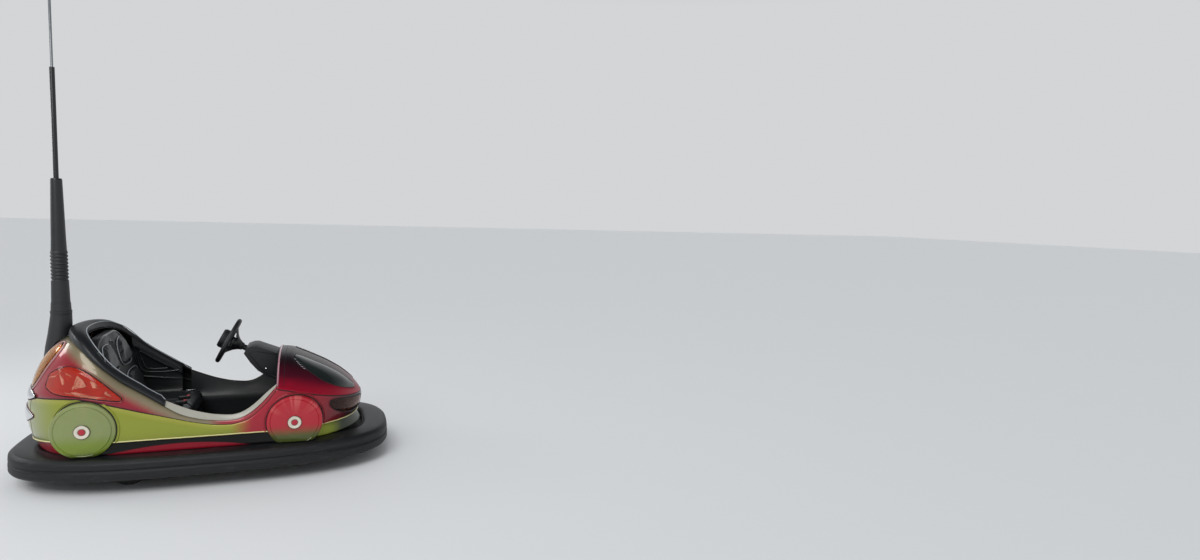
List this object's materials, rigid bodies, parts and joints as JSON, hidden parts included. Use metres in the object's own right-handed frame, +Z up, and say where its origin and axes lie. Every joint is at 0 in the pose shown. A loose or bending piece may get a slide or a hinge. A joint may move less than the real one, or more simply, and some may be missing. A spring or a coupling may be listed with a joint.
{
  "type": "two-seat bumper car",
  "caption": "Electric bumper car with a rubber bumper ring, moulded two-piece body, open cockpit with a bench seat, steered drive wheel and a sprung ceiling contact pole.",
  "frame": {"origin": "on the floor under the centre of the rubber bumper", "axes": "+X towards the nose, +Y to the driver's left, +Z up"},
  "size_m": [1.98, 1.106, 2.79],
  "materials": {
    "frame_paint": "satin paint",
    "pan_steel": "satin black paint",
    "band_steel": "painted steel band",
    "bumper_rubber": "moulded rubber",
    "skirt_paint": "clear-coated metallic paint on glass fibre",
    "side_paint": "clear-coated metallic paint on glass fibre",
    "tail_paint": "clear-coated pearl paint on glass fibre",
    "hood_paint": "clear-coated pearl paint on glass fibre",
    "dark_panel": "dark gloss panel",
    "smoked_lens": "smoked lens, backed",
    "red_lens": "red-orange lens, backed",
    "amber_lens": "amber lens, backed",
    "chrome_bar": "plated bar",
    "front_disc_paint": "clear-coated metallic paint",
    "rear_disc_paint": "clear-coated metallic paint",
    "cap_plastic": "moulded cap",
    "door_trim_plastic": "moulded trim",
    "pad_vinyl": "grained vinyl over foam",
    "liner_plastic": "grained moulding",
    "dash_plastic": "grained moulding",
    "console_plastic": "satin moulding",
    "column_plastic": "satin moulding",
    "seat_base_plastic": "grained moulding",
    "cushion_vinyl": "grained vinyl",
    "back_plastic": "grained moulding",
    "belt_webbing": "woven webbing",
    "pedal_rubber": "ribbed rubber",
    "boot_rubber": "moulded rubber",
    "bellows_rubber": "moulded rubber",
    "sleeve_plastic": "tapered sleeve",
    "pole_paint": "black paint",
    "rod_steel": "drawn steel",
    "shoe_brass": "worn contact metal",
    "wheel_rim_plastic": "moulded over steel",
    "horn_vinyl": "soft moulding",
    "shaft_steel": "turned steel",
    "bearing_iron": "machined iron",
    "fork_iron": "cast iron",
    "motor_paint": "painted motor",
    "drive_hub_iron": "machined iron",
    "drive_tyre_rubber": "solid rubber",
    "axle_steel": "turned steel",
    "rear_hub_alloy": "cast alloy",
    "rear_tyre_rubber": "solid rubber"
  },
  "bodies": {
    "chassis": {"chassis_frame": "frame_paint", "floor_pan": "pan_steel", "bumper_band": "band_steel", "bumper_ring": "bumper_rubber", "apron": "skirt_paint", "body_lower": "side_paint", "body_upper": "tail_paint", "hood": "hood_paint", "hood_panels": "dark_panel", "headlamps": "smoked_lens", "side_lenses": "red_lens", "tail_lamps": "amber_lens", "tail_bars": "chrome_bar", "wheel_discs_front": "front_disc_paint", "wheel_discs_rear": "rear_disc_paint", "hub_caps": "cap_plastic", "door_trim": "door_trim_plastic", "coaming_pad": "pad_vinyl", "side_liners": "liner_plastic", "dash_panel": "dash_plastic", "console": "console_plastic", "column_tube": "column_plastic", "seat_base": "seat_base_plastic", "seat_cushion": "cushion_vinyl", "seat_back": "back_plastic", "lap_belts": "belt_webbing", "pedal": "pedal_rubber", "pole_boot": "boot_rubber", "pole_bellows": "bellows_rubber", "pole_sleeve": "sleeve_plastic", "pole_tube": "pole_paint", "steer_bearing": "bearing_iron", "rear_axle": "axle_steel"},
    "contact": {"contact_rod": "rod_steel", "contact_shoe": "shoe_brass"},
    "steering_wheel": {"steering_wheel": "wheel_rim_plastic", "horn_pad": "horn_vinyl", "steering_shaft": "shaft_steel"},
    "drive_head": {"drive_fork": "fork_iron", "drive_motor": "motor_paint"},
    "drive_wheel": {"drive_hub": "drive_hub_iron", "drive_tyre": "drive_tyre_rubber"},
    "rear_wheel_left": {"rear_hub_left": "rear_hub_alloy", "rear_tyre_left": "rear_tyre_rubber"},
    "rear_wheel_right": {"rear_hub_right": "rear_hub_alloy", "rear_tyre_right": "rear_tyre_rubber"}
  },
  "joints": [
    {"name": "steer_column", "type": "hinge", "parent": "chassis", "child": "steering_wheel", "pos_m": [0.064, 0.08, 0.701], "axis": [-0.8886, 0, 0.4587], "continuous": true},
    {"name": "steer_head", "type": "hinge", "parent": "chassis", "child": "drive_head", "pos_m": [0.54, 0, 0.16], "axis": [0, 0, 1], "continuous": true},
    {"name": "drive_spin", "type": "hinge", "parent": "drive_head", "child": "drive_wheel", "pos_m": [0.54, 0, 0.108], "axis": [0, 1, 0], "continuous": true},
    {"name": "rear_spin_left", "type": "hinge", "parent": "chassis", "child": "rear_wheel_left", "pos_m": [-0.38, 0.345, 0.098], "axis": [0, 1, 0], "continuous": true},
    {"name": "rear_spin_right", "type": "hinge", "parent": "chassis", "child": "rear_wheel_right", "pos_m": [-0.38, -0.345, 0.098], "axis": [0, 1, 0], "continuous": true},
    {"name": "contact_slide", "type": "slide", "parent": "chassis", "child": "contact", "axis": [0, 0, 1], "range_m": [-0.06, 0], "stiffness_N_per_m": 600, "springref_m": 0.08}
  ],
  "couplings": [
    {"joint": "steer_column", "follows": "steer_head", "ratio": 1}
  ]
}
